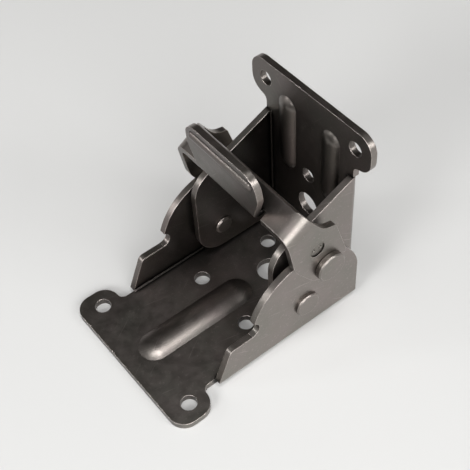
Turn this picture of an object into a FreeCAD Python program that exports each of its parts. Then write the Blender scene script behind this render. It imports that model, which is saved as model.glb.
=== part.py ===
import FreeCAD, Part
import math
import os

# Folding table leg bracket in pressed steel, in mm.
# Origin on the underside of the base, below the hinge. X runs to the T end, Z up.

# Sheet and bends
sheet = 2.0
bend_outer = 2.4
bend_inner = 0.6
screw_hole_d = 4.8
clearance_hole_d = 8.1
bead_rise = 1.3
rivet_edge = 0.4

# Clearances
running_gap = 0.05
side_gap = 0.15
stop_gap = 0.2
path_gap = 0.4
release_gap = 1.4
cut_over = 1.0

# Hinge between base and leg
hinge_z = 12.2
rivet_shank_r = 2.2
rivet_head_r = 4.0
rivet_head_h = 1.1
rivet_tail_r = 2.9
rivet_tail_h = 0.8
rivet_tail_edge = 0.5
washer_r = 4.6
washer_room = 1.75

# Base
base_half_w = 22.2
base_ear_x = 36.6
base_ear_deep = 12.7
base_ear_half_w = 27.3
base_ear_corner_r = 5.0
base_neck_corner_r = 2.0
base_ear_hole_in = 7.0
base_ear_hole_y = 21.6
base_mid_hole_x = 13.3
base_mid_hole_y = 10.7
base_rear_hole_x = -11.2
base_rear_hole_y = 9.0
base_big_hole_x = -4.7
base_bead_from_x = 3.8
base_bead_to_x = 43.5
base_bead_half_w = 5.0
cheek_arc_r = 19.7
cheek_shoulder_z = 13.2
cheek_shoulder_x = 27.2
cheek_shoulder_r = 2.0
cheek_foot_x = 32.0
seat_x = 19.6
seat_z = 15.9
seat_r = 2.6

# Leg
leg_back_x = -21.6
leg_ear_z = 51.8
leg_ear_tall = 12.7
leg_ear_half_w = 24.3
leg_ear_corner_r = 5.0
leg_neck_half_w = 18.2
leg_neck_corner_r = 2.0
leg_ear_hole_in = 6.2
leg_ear_hole_y = 18.3
leg_small_hole_z = 33.5
leg_big_hole_z = 21.1
leg_bead_y = 9.0
leg_bead_half_w = 3.6
leg_bead_from_z = 30.6
leg_bead_to_z = 57.6
leg_front_r = 9.0
leg_shoulder_r = 9.0
leg_slope_top_z = 47.4
leg_slope_top_r = 1.0
leg_slope_low_z = 34.6

# Release lever
lever_bend_outer = 4.4
lever_foot_x = 8.6
lever_foot_z = 47.4
lever_crest_x = 1.9
lever_crest_z = 51.7
lever_crest_r = 0.6
lever_relief_half_w = 13.4
lever_relief_deep = 2.6
tab_front_x = 9.6
tab_lean_deg = 5.0
tab_top_z = 64.2
tab_top_half_w = 14.3
tab_waist_z = 56.0
tab_waist_half_w = 15.0
tab_foot_half_w = 11.8
tab_corner_r = 5.0
tab_bead_z = 60.4
tab_bead_half_w = 1.5
tab_bead_half_l = 11.7
tab_bead_rise = 0.8
lever_pin_x = -1.9
lever_pin_z = 36.8
lever_pin_r = 1.5
lever_pin_head_r = 2.4
lever_pin_head_h = 0.7
lever_pin_recess = 0.4
lever_pin_pit_r = 0.55
lever_pin_pit_tip_r = 0.1
lever_pin_pit_offset = 1.15

# Arm outline from the web's crest round the hook to the web's foot, as x, z and corner radius
arm_dip = (-4.0, 43.4, 6.0)
arm_tip = (-8.2, 42.5, 1.2)
arm_back_low = (-12.4, 29.0, 1.2)
arm_jaw_end = (-9.6, 22.9, 1.6)
arm_chin = (-1.6, 22.6, 7.0)
arm_front_low = (6.0, 33.3, 10.0)

# Lock stud on the base
stud_x = -5.85
stud_z = 27.4
stud_shank_r = 2.0
stud_head_r = 4.7
stud_head_h = 1.8

# Sizes that follow
base_front_x = base_ear_x + base_ear_deep
base_ear_hole_x = base_front_x - base_ear_hole_in
leg_top_z = leg_ear_z + leg_ear_tall
leg_ear_hole_z = leg_top_z - leg_ear_hole_in
base_inner_half_w = base_half_w - sheet
base_back_x = leg_back_x + sheet + stop_gap
leg_half_w = base_inner_half_w - washer_room
leg_inner_half_w = leg_half_w - sheet
leg_bottom_z = hinge_z - leg_front_r
arm_inner_y = base_half_w + side_gap
arm_outer_y = arm_inner_y + sheet
stud_head_y = arm_outer_y + side_gap
stud_path_r = math.hypot(stud_x, stud_z - hinge_z)
lever_bend_inner = lever_bend_outer - sheet
tab_lean = math.tan(math.radians(tab_lean_deg))
reach = 3 * arm_outer_y
V = FreeCAD.Vector
AXIS_X = V(1, 0, 0)
AXIS_Y = V(0, 1, 0)
AXIS_Z = V(0, 0, 1)


def wire_of(corners, place):
    """Closed wire through corners (u, v, radius), with each corner rounded by its radius."""
    count = len(corners)
    starts = []
    ends = []
    mids = []
    for i in range(count):
        u, v, r = corners[i]
        here = V(u, v, 0)
        back = V(corners[i - 1][0], corners[i - 1][1], 0) - here
        ahead = V(corners[(i + 1) % count][0], corners[(i + 1) % count][1], 0) - here
        back.normalize()
        ahead.normalize()
        if r <= 0:
            starts.append(here)
            ends.append(here)
            mids.append(None)
            continue
        half = back.getAngle(ahead) / 2
        reach = r / math.tan(half)
        inward = back + ahead
        inward.normalize()
        centre = here + inward * (r / math.sin(half))
        starts.append(here + back * reach)
        ends.append(here + ahead * reach)
        mids.append(centre - inward * r)
    edges = []
    for i in range(count):
        if mids[i] is not None:
            edges.append(Part.Arc(place(starts[i]), place(mids[i]), place(ends[i])).toShape())
        a = place(ends[i])
        b = place(starts[(i + 1) % count])
        if a.distanceToPoint(b) > 1e-6:
            edges.append(Part.makeLine(a, b))
    return Part.Wire(edges)


def side_plate(corners, y0, y1):
    """Plate with an outline in X and Z, from y0 to y1."""
    wire = wire_of(corners, lambda p: V(p.x, y0, p.y))
    return Part.Face(wire).extrude(V(0, y1 - y0, 0))


def flat_plate(corners, z0, z1):
    """Plate with an outline in X and Y, from z0 to z1."""
    wire = wire_of(corners, lambda p: V(p.x, p.y, z0))
    return Part.Face(wire).extrude(V(0, 0, z1 - z0))


def back_plate(corners, x0, x1):
    """Plate with an outline in Y and Z, from x0 to x1."""
    wire = wire_of(corners, lambda p: V(x0, p.x, p.y))
    return Part.Face(wire).extrude(V(x1 - x0, 0, 0))


def pin_y(x, z, r, y0, y1):
    return Part.makeCylinder(r, y1 - y0, V(x, y0, z), AXIS_Y)


def box(x0, x1, y0, y1, z0, z1):
    return Part.makeBox(x1 - x0, y1 - y0, z1 - z0, V(x0, y0, z0))


def round_edges(solid, radius, wanted):
    """Rounds the straight edges whose two ends both satisfy wanted."""
    edges = [e for e in solid.Edges if len(e.Vertexes) == 2 and all(wanted(v.Point) for v in e.Vertexes)]
    return solid.makeFillet(radius, edges)


def near(a, b):
    return abs(a - b) < 1e-6


def bead(half_l, half_w, rise):
    """Round topped bead with domed ends, its foot on the plane of the origin."""
    r = (half_w ** 2 + rise ** 2) / (2 * rise)
    half_turn = math.asin(half_w / r) / 2
    crest = V(0, 0, rise)
    flank = V(0, r * math.sin(half_turn), rise - r + r * math.cos(half_turn))
    foot = V(0, half_w, 0)
    floor = V(0, 0, 0)
    edges = [Part.Arc(crest, flank, foot).toShape(), Part.makeLine(foot, floor), Part.makeLine(floor, crest)]
    section = Part.Face(Part.Wire(edges))
    dome = section.revolve(floor, AXIS_Z, 180)
    dome.translate(V(-half_l, 0, 0))
    other_dome = dome.copy()
    other_dome.rotate(floor, AXIS_Z, 180)
    edges = [Part.Arc(V(0, -half_w, 0), crest, foot).toShape(), Part.makeLine(foot, V(0, -half_w, 0))]
    bar = Part.Face(Part.Wire(edges)).extrude(V(2 * half_l, 0, 0))
    bar.translate(V(-half_l, 0, 0))
    return bar.fuse([dome, other_dome]).removeSplitter()


def placed(shape, origin, along, up):
    """Copy with its X turned to along and its Z to up, moved to origin."""
    copy = shape.copy()
    copy.Placement = FreeCAD.Placement(origin, FreeCAD.Rotation(along, up.cross(along), up, "ZXY"))
    return copy


def mirrored(shape):
    return shape.mirror(V(0, 0, 0), AXIS_Y)


def press_bead(solid, form, origin, along, up):
    """Presses a bead out of a sheet whose raised face holds origin."""
    raised = solid.fuse(placed(form, origin, along, up))
    return raised.cut(placed(form, origin - up * sheet, along, up))


def base_channel():
    tall = hinge_z + cheek_arc_r + sheet
    outer = box(base_back_x, cheek_foot_x, -base_half_w, base_half_w, 0, tall)
    outer = round_edges(outer, bend_outer, lambda p: near(p.z, 0) and near(abs(p.y), base_half_w))
    hollow = box(base_back_x - cut_over, cheek_foot_x + cut_over, -base_inner_half_w, base_inner_half_w,
                 sheet, tall + cut_over)
    hollow = round_edges(hollow, bend_inner, lambda p: near(p.z, sheet) and near(abs(p.y), base_inner_half_w))
    channel = outer.cut(hollow)
    front = side_plate(
        [
            (base_back_x, 0, 0),
            (cheek_foot_x, 0, 0),
            (cheek_foot_x, sheet, 0),
            (cheek_shoulder_x, cheek_shoulder_z, cheek_shoulder_r),
            (0, cheek_shoulder_z, 0),
            (base_back_x, cheek_shoulder_z, 0),
        ],
        -base_half_w,
        base_half_w,
    )
    arc = pin_y(0, hinge_z, cheek_arc_r, -base_half_w, base_half_w)
    seat = pin_y(seat_x, seat_z, seat_r, -base_half_w, base_half_w)
    above_seat = box(seat_x, cheek_foot_x, -base_half_w, base_half_w, cheek_shoulder_z, seat_z + seat_r)
    below_shoulder = box(base_back_x, cheek_foot_x, -base_half_w, base_half_w, -cheek_arc_r, cheek_shoulder_z)
    hump = arc.cut(seat.fuse(above_seat)).cut(below_shoulder)
    channel = channel.common(front.fuse(hump))
    plan = flat_plate(
        [
            (cheek_foot_x - sheet, -base_inner_half_w, 0),
            (base_ear_x, -base_inner_half_w, base_neck_corner_r),
            (base_ear_x, -base_ear_half_w, base_ear_corner_r),
            (base_front_x, -base_ear_half_w, base_ear_corner_r),
            (base_front_x, base_ear_half_w, base_ear_corner_r),
            (base_ear_x, base_ear_half_w, base_ear_corner_r),
            (base_ear_x, base_inner_half_w, base_neck_corner_r),
            (cheek_foot_x - sheet, base_inner_half_w, 0),
        ],
        0,
        sheet,
    )
    body = channel.fuse(plan)
    half_l = (base_bead_to_x - base_bead_from_x) / 2 - base_bead_half_w
    form = bead(half_l, base_bead_half_w, bead_rise)
    mid_x = (base_bead_from_x + base_bead_to_x) / 2
    body = press_bead(body, form, V(mid_x, 0, sheet), AXIS_X, AXIS_Z)
    holes = [(base_big_hole_x, 0, clearance_hole_d)]
    for sign in (-1, 1):
        holes.append((base_ear_hole_x, sign * base_ear_hole_y, screw_hole_d))
        holes.append((base_mid_hole_x, sign * base_mid_hole_y, screw_hole_d))
        holes.append((base_rear_hole_x, sign * base_rear_hole_y, screw_hole_d))
    for x, y, d in holes:
        body = body.cut(Part.makeCylinder(d / 2, 3 * sheet, V(x, y, -sheet), AXIS_Z))
    body = body.cut(pin_y(0, hinge_z, rivet_shank_r, -reach, reach))
    body = body.cut(pin_y(stud_x, stud_z, stud_shank_r, -reach, reach))
    return body.removeSplitter()


def leg_channel():
    inner_x = leg_back_x + sheet
    deep = leg_front_r + sheet
    outer = box(leg_back_x, deep, -leg_half_w, leg_half_w, leg_bottom_z, leg_slope_top_z + sheet)
    outer = round_edges(outer, bend_outer, lambda p: near(p.x, leg_back_x) and near(abs(p.y), leg_half_w))
    hollow = box(inner_x, deep + cut_over, -leg_inner_half_w, leg_inner_half_w,
                 leg_bottom_z - cut_over, leg_top_z)
    hollow = round_edges(
        hollow, bend_inner, lambda p: near(p.x, inner_x) and near(abs(p.y), leg_inner_half_w))
    side = side_plate(
        [
            (leg_back_x, leg_bottom_z, 0),
            (leg_front_r, leg_bottom_z, leg_front_r),
            (leg_front_r, leg_slope_low_z, leg_shoulder_r),
            (inner_x, leg_slope_top_z, leg_slope_top_r),
            (leg_back_x, leg_slope_top_z, 0),
        ],
        -leg_half_w,
        leg_half_w,
    )
    channel = outer.cut(hollow).common(side)
    neck_z = leg_slope_top_z - 2 * sheet
    plan = back_plate(
        [
            (-leg_neck_half_w, neck_z, 0),
            (-leg_neck_half_w, leg_ear_z, leg_neck_corner_r),
            (-leg_ear_half_w, leg_ear_z, leg_ear_corner_r),
            (-leg_ear_half_w, leg_top_z, leg_ear_corner_r),
            (leg_ear_half_w, leg_top_z, leg_ear_corner_r),
            (leg_ear_half_w, leg_ear_z, leg_ear_corner_r),
            (leg_neck_half_w, leg_ear_z, leg_neck_corner_r),
            (leg_neck_half_w, neck_z, 0),
        ],
        leg_back_x,
        inner_x,
    )
    corner = box(leg_back_x, inner_x, leg_inner_half_w, leg_half_w, neck_z, leg_slope_top_z)
    plan = plan.cut(corner.fuse(mirrored(corner)))
    body = channel.fuse(plan)
    half_l = (leg_bead_to_z - leg_bead_from_z) / 2 - leg_bead_half_w
    form = bead(half_l, leg_bead_half_w, bead_rise)
    mid_z = (leg_bead_from_z + leg_bead_to_z) / 2
    for sign in (-1, 1):
        body = press_bead(body, form, V(inner_x, sign * leg_bead_y, mid_z), AXIS_Z, AXIS_X)
    holes = [(0, leg_small_hole_z, screw_hole_d), (0, leg_big_hole_z, clearance_hole_d)]
    for sign in (-1, 1):
        holes.append((sign * leg_ear_hole_y, leg_ear_hole_z, screw_hole_d))
    for y, z, d in holes:
        body = body.cut(Part.makeCylinder(d / 2, 3 * sheet, V(leg_back_x - sheet, y, z), AXIS_X))
    body = body.cut(pin_y(0, hinge_z, rivet_shank_r + running_gap, -reach, reach))
    body = body.cut(pin_y(lever_pin_x, lever_pin_z, lever_pin_r, -reach, reach))
    return body.removeSplitter()


def tab_face_x(z):
    """Front face of the leaning tab at a height."""
    return tab_front_x + (z - lever_foot_z) * tab_lean


def bend_height(face_x, level, slope):
    """Height where the tab's face, face_x at the foot, meets a web line that is at level there."""
    rise = level - lever_foot_z - slope * (face_x - lever_foot_x)
    return lever_foot_z + rise / (1 + slope * tab_lean)


def finger_tab(foot, up, out):
    """Tab turned up from the front of the web, with its bend, between the two reliefs."""
    rear = foot + up * lever_relief_deep
    rear_under = rear - out * sheet
    slope = up.z / -up.x
    bend_z = bend_height(tab_front_x - sheet, foot.z, slope)
    under_z = bend_height(tab_front_x, foot.z - sheet / out.z, slope)
    strip = side_plate(
        [
            (tab_face_x(bend_z) - sheet, bend_z, bend_inner),
            (rear.x, rear.z, 0),
            (rear_under.x, rear_under.z, 0),
            (tab_face_x(under_z), under_z, bend_inner + sheet),
            (tab_face_x(tab_top_z), tab_top_z, 0),
            (tab_face_x(tab_top_z) - sheet, tab_top_z, 0),
        ],
        -reach,
        reach,
    )
    outline = back_plate(
        [
            (-tab_foot_half_w, under_z, 0),
            (tab_foot_half_w, under_z, 0),
            (tab_foot_half_w, foot.z, tab_corner_r),
            (tab_waist_half_w, tab_waist_z, tab_corner_r),
            (tab_top_half_w, tab_top_z, tab_corner_r),
            (-tab_top_half_w, tab_top_z, tab_corner_r),
            (-tab_waist_half_w, tab_waist_z, tab_corner_r),
            (-tab_foot_half_w, foot.z, tab_corner_r),
        ],
        -reach,
        reach,
    )
    return strip.common(outline)


def release_lever():
    foot = V(lever_foot_x, 0, lever_foot_z)
    crest = V(lever_crest_x, 0, lever_crest_z)
    up = crest - foot
    up.normalize()
    out = V(up.z, 0, -up.x)
    block = side_plate(
        [
            (foot.x, foot.z, 0),
            (crest.x, crest.z, lever_crest_r),
            arm_dip,
            arm_tip,
            arm_back_low,
            arm_jaw_end,
            arm_chin,
            arm_front_low,
        ],
        -arm_outer_y,
        arm_outer_y,
    )
    outer = box(-reach, reach, -arm_outer_y, arm_outer_y, -reach, 0)
    outer = round_edges(outer, lever_bend_outer, lambda p: near(p.z, 0) and near(abs(p.y), arm_outer_y))
    hollow = box(-reach, reach, -arm_inner_y, arm_inner_y, -reach, 0)
    hollow = round_edges(hollow, lever_bend_inner, lambda p: near(p.z, 0) and near(abs(p.y), arm_inner_y))
    body = block.common(placed(outer, foot, up, out))
    body = body.cut(placed(hollow, foot - out * sheet, up, out))
    relief = box(-2 * sheet, lever_relief_deep, -lever_relief_half_w, lever_relief_half_w, -2 * sheet, sheet)
    body = body.cut(placed(relief, foot, up, out)).fuse(finger_tab(foot, up, out))
    form = bead(tab_bead_half_l, tab_bead_half_w, tab_bead_rise)
    face = V(1, 0, -tab_lean)
    face.normalize()
    body = press_bead(body, form, V(tab_face_x(tab_bead_z), 0, tab_bead_z), AXIS_Y, face)
    ring_out = stud_path_r + stud_shank_r + release_gap
    ring_in = stud_path_r - stud_shank_r - path_gap
    ring = pin_y(0, hinge_z, ring_out, -arm_outer_y, arm_outer_y)
    ring = ring.cut(pin_y(0, hinge_z, ring_in, -arm_outer_y, arm_outer_y))
    behind = box(-reach, 0, -reach, reach, 0, reach)
    lead = (stud_shank_r + stop_gap) / stud_path_r
    turn = math.degrees(math.atan2(-stud_x, stud_z - hinge_z) - lead)
    behind.Placement = FreeCAD.Placement(V(0, 0, hinge_z), FreeCAD.Rotation(AXIS_Y, -turn))
    body = body.cut(ring.common(behind))
    hole = pin_y(lever_pin_x, lever_pin_z, lever_pin_r + running_gap, -reach, reach)
    deep = lever_pin_recess + lever_pin_head_h + running_gap
    sink = pin_y(lever_pin_x, lever_pin_z, lever_pin_head_r + running_gap, arm_outer_y - deep, reach)
    body = body.cut(hole.fuse(sink).fuse(mirrored(sink)))
    return body.removeSplitter()


def pivot_rivet():
    tail_y = leg_inner_half_w - side_gap
    top = base_half_w + rivet_head_h
    head = pin_y(0, hinge_z, rivet_head_r, base_half_w, top)
    head = head.makeChamfer(rivet_edge, [e for e in head.Edges if near(e.BoundBox.YMin, top)])
    shank = pin_y(0, hinge_z, rivet_shank_r, tail_y, base_half_w)
    end = tail_y - rivet_tail_h
    tail = pin_y(0, hinge_z, rivet_tail_r, end, tail_y)
    tail = tail.makeChamfer(rivet_tail_edge, [e for e in tail.Edges if near(e.BoundBox.YMax, end)])
    return head.fuse(shank).fuse(tail).removeSplitter()


def pivot_washer():
    disc = pin_y(0, hinge_z, washer_r, leg_half_w + side_gap, base_inner_half_w)
    return disc.cut(pin_y(0, hinge_z, rivet_shank_r, leg_half_w, base_half_w))


def lock_stud():
    top = stud_head_y + stud_head_h
    head = pin_y(stud_x, stud_z, stud_head_r, stud_head_y, top)
    head = head.makeChamfer(rivet_edge, [e for e in head.Edges if near(e.BoundBox.YMin, top)])
    return head.fuse(pin_y(stud_x, stud_z, stud_shank_r, base_inner_half_w, stud_head_y)).removeSplitter()


def lever_pin():
    head_top = arm_outer_y - lever_pin_recess
    pin = pin_y(lever_pin_x, lever_pin_z, lever_pin_r, leg_inner_half_w, head_top)
    head = pin_y(lever_pin_x, lever_pin_z, lever_pin_head_r, head_top - lever_pin_head_h, head_top)
    pin = pin.fuse(head).removeSplitter()
    for sign in (-1, 1):
        tip = V(lever_pin_x + sign * lever_pin_pit_offset, head_top - lever_pin_pit_r, lever_pin_z)
        pin = pin.cut(Part.makeCone(lever_pin_pit_tip_r, lever_pin_pit_r, lever_pin_pit_r, tip, AXIS_Y))
    return pin


parts = {
    "base_channel": base_channel(),
    "leg_channel": leg_channel(),
    "release_lever": release_lever(),
}
for name, maker in (("pivot_rivet", pivot_rivet), ("pivot_washer", pivot_washer),
                    ("lock_stud", lock_stud), ("lever_pin", lever_pin)):
    piece = maker()
    parts[name + "_near"] = piece
    parts[name + "_far"] = mirrored(piece)

os.makedirs("parts", exist_ok=True)
for name, shape in parts.items():
    solid = shape.Solids[0]
    assert len(shape.Solids) == 1 and solid.isValid(), name
    solid.exportStep("parts/" + name + ".step")
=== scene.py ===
import bpy
from mathutils import Matrix, Vector

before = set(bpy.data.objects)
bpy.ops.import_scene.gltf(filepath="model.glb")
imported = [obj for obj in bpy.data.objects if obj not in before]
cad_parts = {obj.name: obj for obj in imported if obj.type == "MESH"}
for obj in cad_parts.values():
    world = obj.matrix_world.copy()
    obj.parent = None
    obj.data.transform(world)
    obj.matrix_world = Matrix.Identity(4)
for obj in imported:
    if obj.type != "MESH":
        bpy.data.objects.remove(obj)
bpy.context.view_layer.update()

# Camera fitted to the photo, in metres
camera_place = Vector((0.11252, 0.14990, 0.24864))
camera_right = Vector((-0.78478, 0.61805, -0.04620))
camera_up = Vector((-0.49989, -0.58720, 0.63667))
camera_lens = 78.05
camera_clip = 0.01
sensor_width = 36.0

# Plated steel
sheet_pieces = ("base_channel", "leg_channel", "release_lever")
sheet_colour = (0.256, 0.230, 0.214)
rivet_colour = (0.248, 0.224, 0.207)
sheet_roughness = 0.30
rivet_roughness = 0.30
roughness_less = 0.01
roughness_more = 0.07
grain_strength = 0.26
grain_depth = 0.00008
edge_radius = 0.00026
edge_samples = 6
scratch_length = 0.016
scratch_turns = ((0.7, 0.3, 0.8), (-0.8, 0.5, -0.7))
scratch_widths = (0.00045, 0.00040)

# How far other faces of the same piece count as closing in on a point, for the painted shade inside the
# channels and in the folds
inside_reach = 0.045
fold_reach = 0.0018
reach_samples = 12

# Times the plating's colour; the inside, front and fold factors darken it as painted shade
cloud_dark = (0.90, 0.955, 0.92)
cloud_light = (1.09, 1.045, 1.07)
speck_shade = 1.25
scratch_shade = 1.38
rubbed_shade = 3.0
painted_inside_shade = 0.24
painted_front_shade = 0.50
# Painted shade in the folds, deep on the sheet and mild on the rivets
sheet_painted_fold_shade = 0.05
rivet_painted_fold_shade = 0.60

# Noise patterns: scale, detail, roughness
cloud_noise = (90.0, 5.0, 0.55)
speck_noise = (1200.0, 2.0, 0.6)
scratch_noise = (1.0, 2.0, 0.55)
rubbed_noise = (420.0, 4.0, 0.55)
patch_noise = (320.0, 5.0, 0.55)
grain_noise = (2600.0, 2.0, 0.6)
floor_noise = (3.0, 2.0, 0.55)

# Stretches of a noise or a mask that are spread from nought to one
middle_band = (0.3, 0.7)
speck_band = (0.60, 0.72)
scratch_band = (0.69, 0.74)
rubbed_band = (0.40, 0.62)
rubbed_range = (0.25, 1.0)
edge_band = (0.995, 0.80)
outer_edge_band = (0.92, 0.99)
fold_band = (0.76, 0.98)
inside_band = (0.38, 0.80)
front_band = (0.55, 0.98)

# Floor
floor_colour = (0.67, 0.668, 0.660)
floor_shade = 0.985
floor_roughness = 0.9
floor_size = 4.0
floor_drop = 0.0001
floor_whole = 0.32
floor_gone = 0.80

# World, pale towards the camera's side and along the horizon
world_back = (0.018, 0.016, 0.012)
world_front = (0.46, 0.46, 0.455)
world_horizon = (0.66, 0.66, 0.652)
world_toward = (0.70, 0.70, 0.10)
world_toward_band = (-0.5, 0.9)
world_horizon_band = (0.34, 0.08)
world_strength = 1.0

# Soft round lamps aimed at the bracket: name, place, width, power
lamp_target = Vector((0.0, 0.0, 0.02))
lamps = (
    ("front", Vector((0.90, 0.22, 0.48)), 0.38, 5.0),
    ("near", Vector((0.22, 0.68, 0.43)), 0.60, 3.7),
    ("top", Vector((-0.06, 0.13, 1.00)), 0.32, 2.7),
    ("over", Vector((0.24, -0.02, 1.00)), 0.24, 1.2),
    ("side", Vector((0.77, -0.52, 0.38)), 0.18, 1.2),
    ("edge", Vector((-0.42, 0.80, 0.52)), 0.34, 2.6),
)

# Colour sockets of a Mix node, which shares their names among its kinds
mix_amount = 0
mix_low = 6
mix_high = 7
mix_result = 2


def new_material(name):
    material = bpy.data.materials.new(name)
    material.use_nodes = True
    tree = material.node_tree
    return material, tree, tree.nodes["Principled BSDF"]


def node(tree, kind, **settings):
    made = tree.nodes.new(kind)
    for key, value in settings.items():
        setattr(made, key, value)
    return made


def noise(tree, place, pattern):
    made = node(tree, "ShaderNodeTexNoise")
    for socket, value in zip(("Scale", "Detail", "Roughness"), pattern):
        made.inputs[socket].default_value = value
    tree.links.new(place, made.inputs["Vector"])
    return made.outputs["Fac"]


def spread(tree, source, band, reach=(0.0, 1.0)):
    """The source's band, spread over the reach and held at its ends."""
    made = node(tree, "ShaderNodeMapRange", clamp=True)
    for socket, value in zip(("From Min", "From Max", "To Min", "To Max"), (*band, *reach)):
        made.inputs[socket].default_value = value
    tree.links.new(source, made.inputs["Value"])
    return made.outputs["Result"]


def mixed(tree, amount, low, high):
    made = node(tree, "ShaderNodeMix", data_type="RGBA")
    tree.links.new(amount, made.inputs[mix_amount])
    for socket, value in ((made.inputs[mix_low], low), (made.inputs[mix_high], high)):
        if isinstance(value, tuple):
            socket.default_value = (*value, 1.0)
        else:
            tree.links.new(value, socket)
    return made.outputs[mix_result]


def combined(tree, operation, first, second):
    made = node(tree, "ShaderNodeMath", operation=operation)
    tree.links.new(first, made.inputs[0])
    tree.links.new(second, made.inputs[1])
    return made.outputs["Value"]


def shade(colour, amount):
    return tuple(amount * c for c in colour)


def tinted(colour, amounts):
    return tuple(amount * c for amount, c in zip(amounts, colour))


def darker(tree, colour, amount):
    made = node(tree, "ShaderNodeVectorMath", operation="SCALE")
    made.inputs["Scale"].default_value = amount
    tree.links.new(colour, made.inputs[0])
    return made.outputs["Vector"]


def rounded_edges(tree):
    made = node(tree, "ShaderNodeBevel", samples=edge_samples)
    made.inputs["Radius"].default_value = edge_radius
    return made.outputs["Normal"]


def edge_mask(tree, rounded):
    """One where the surface turns over a sheared edge, nought on the flat."""
    flat = node(tree, "ShaderNodeNewGeometry")
    dot = node(tree, "ShaderNodeVectorMath", operation="DOT_PRODUCT")
    tree.links.new(rounded, dot.inputs[0])
    tree.links.new(flat.outputs["Normal"], dot.inputs[1])
    return spread(tree, dot.outputs["Value"], edge_band)


def openness(tree, reach):
    """One where nothing of the same piece stands within reach, less inside its channels and folds."""
    made = node(tree, "ShaderNodeAmbientOcclusion", only_local=True, samples=reach_samples)
    made.inputs["Distance"].default_value = reach
    return made.outputs["AO"]


def painted_front_shade_mask(tree):
    """One on faces that look along the leg's front, nought on cheeks and on the base plate; the colour
    there is darkened as painted shade.
    """
    made = node(tree, "ShaderNodeSeparateXYZ")
    tree.links.new(node(tree, "ShaderNodeTexCoord").outputs["Normal"], made.inputs[0])
    return spread(tree, made.outputs["X"], front_band)


def streaks(tree, place, turn, width):
    """Sparse thin streaks across a face, one where a scratch lies."""
    spun = node(tree, "ShaderNodeMapping", vector_type="TEXTURE")
    spun.inputs["Rotation"].default_value = turn
    spun.inputs["Scale"].default_value = (scratch_length, width, scratch_length)
    tree.links.new(place, spun.inputs["Vector"])
    return spread(tree, noise(tree, spun.outputs["Vector"], scratch_noise), scratch_band)


def scratches(tree, place):
    first, second = (streaks(tree, place, *lie) for lie in zip(scratch_turns, scratch_widths))
    return combined(tree, "MAXIMUM", first, second)


def rubbed_edges(tree, place, rounded, clear):
    """Plating rubbed bright in patches along the outer edges, and not in the folds."""
    patches = spread(tree, noise(tree, place, rubbed_noise), rubbed_band, rubbed_range)
    rubbed = combined(tree, "MULTIPLY", edge_mask(tree, rounded), patches)
    return combined(tree, "MULTIPLY", rubbed, spread(tree, clear, outer_edge_band))


def plating_colour_and_painted_shade(tree, place, colour, rounded, painted_fold_shade):
    clear = openness(tree, fold_reach)
    unfolded = spread(tree, clear, fold_band)
    outside = spread(tree, openness(tree, inside_reach), inside_band)
    cloud = spread(tree, noise(tree, place, cloud_noise), middle_band)
    speck = spread(tree, noise(tree, place, speck_noise), speck_band)
    base = mixed(tree, cloud, tinted(colour, cloud_dark), tinted(colour, cloud_light))
    base = mixed(tree, speck, base, shade(colour, speck_shade))
    base = mixed(tree, scratches(tree, place), base, shade(colour, scratch_shade))
    # Painted shade: the colour is darkened deep inside the channels, in the folds and on faces turned to
    # the front
    base = mixed(tree, outside, darker(tree, base, painted_inside_shade), base)
    base = mixed(tree, unfolded, darker(tree, base, painted_fold_shade), base)
    base = mixed(tree, painted_front_shade_mask(tree), base, darker(tree, base, painted_front_shade))
    return mixed(tree, rubbed_edges(tree, place, rounded, clear), base, shade(colour, rubbed_shade))


def plating_grain(tree, place, rounded):
    made = node(tree, "ShaderNodeBump")
    made.inputs["Strength"].default_value = grain_strength
    made.inputs["Distance"].default_value = grain_depth
    tree.links.new(noise(tree, place, grain_noise), made.inputs["Height"])
    tree.links.new(rounded, made.inputs["Normal"])
    return made.outputs["Normal"]


def plated(name, colour, roughness, painted_fold_shade):
    material, tree, shader = new_material(name)
    place = node(tree, "ShaderNodeTexCoord").outputs["Object"]
    rounded = rounded_edges(tree)
    roughness_range = (roughness - roughness_less, roughness + roughness_more)
    patch = spread(tree, noise(tree, place, patch_noise), middle_band, roughness_range)
    tree.links.new(plating_colour_and_painted_shade(tree, place, colour, rounded, painted_fold_shade), shader.inputs["Base Color"])
    shader.inputs["Metallic"].default_value = 1.0
    tree.links.new(patch, shader.inputs["Roughness"])
    tree.links.new(plating_grain(tree, place, rounded), shader.inputs["Normal"])
    return material


def dress_nodes():
    sheet = plated("plated_sheet", sheet_colour, sheet_roughness, sheet_painted_fold_shade)
    rivet = plated("plated_rivet", rivet_colour, rivet_roughness, rivet_painted_fold_shade)
    for name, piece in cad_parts.items():
        piece.data.materials.clear()
        piece.data.materials.append(sheet if name in sheet_pieces else rivet)


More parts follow.
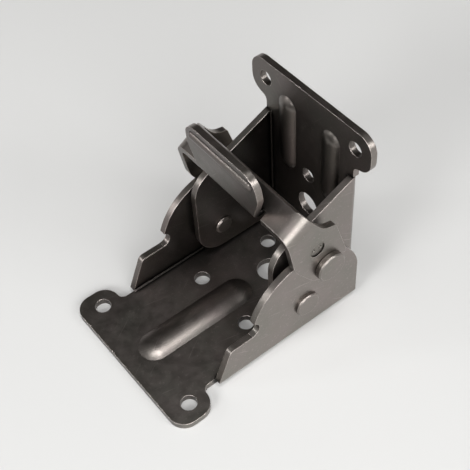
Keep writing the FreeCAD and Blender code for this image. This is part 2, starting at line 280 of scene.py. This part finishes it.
def floor_material():
    """Pale and nearly even, fading out well away from the bracket."""
    material, tree, shader = new_material("pale_floor")
    place = node(tree, "ShaderNodeTexCoord").outputs["Object"]
    soft = spread(tree, noise(tree, place, floor_noise), middle_band)
    away = node(tree, "ShaderNodeVectorMath", operation="LENGTH")
    tree.links.new(place, away.inputs[0])
    fade = spread(tree, away.outputs["Value"], (floor_whole, floor_gone), (1.0, 0.0))
    pale = mixed(tree, soft, shade(floor_colour, floor_shade), floor_colour)
    tree.links.new(pale, shader.inputs["Base Color"])
    tree.links.new(fade, shader.inputs["Alpha"])
    shader.inputs["Roughness"].default_value = floor_roughness
    return material


def pale_floor():
    bpy.ops.mesh.primitive_plane_add(size=floor_size, location=(0.0, 0.0, -floor_drop))
    floor = bpy.context.object
    floor.name = "floor"
    floor.data.materials.append(floor_material())


def studio_world():
    world = bpy.data.worlds.new("studio")
    bpy.context.scene.world = world
    world.use_nodes = True
    tree = world.node_tree
    ground = tree.nodes["Background"]
    place = node(tree, "ShaderNodeTexCoord").outputs["Generated"]
    toward = node(tree, "ShaderNodeVectorMath", operation="DOT_PRODUCT")
    toward.inputs[1].default_value = world_toward
    tree.links.new(place, toward.inputs[0])
    front = spread(tree, toward.outputs["Value"], world_toward_band)
    height = node(tree, "ShaderNodeSeparateXYZ")
    tree.links.new(place, height.inputs[0])
    low = spread(tree, height.outputs["Z"], world_horizon_band)
    sky = mixed(tree, front, world_back, world_front)
    tree.links.new(mixed(tree, low, sky, world_horizon), ground.inputs["Color"])
    ground.inputs["Strength"].default_value = world_strength


def soft_light(name, place, width, power):
    data = bpy.data.lights.new(name, "AREA")
    data.shape = "DISK"
    data.size = width
    data.energy = power
    lamp = bpy.data.objects.new(name, data)
    bpy.context.scene.collection.objects.link(lamp)
    lamp.location = place
    lamp.rotation_euler = (lamp_target - place).to_track_quat("-Z", "Y").to_euler()


def photo_camera():
    data = bpy.data.cameras.new("photo_camera")
    data.lens = camera_lens
    data.sensor_width = sensor_width
    data.clip_start = camera_clip
    camera = bpy.data.objects.new("photo_camera", data)
    bpy.context.scene.collection.objects.link(camera)
    back = camera_right.cross(camera_up)
    turn = Matrix((camera_right, camera_up, back)).transposed()
    camera.matrix_world = Matrix.Translation(camera_place) @ turn.to_4x4()
    bpy.context.scene.camera = camera


bpy.context.scene.view_settings.view_transform = "Standard"
dress_nodes()
pale_floor()
studio_world()
for lamp in lamps:
    soft_light(*lamp)
photo_camera()
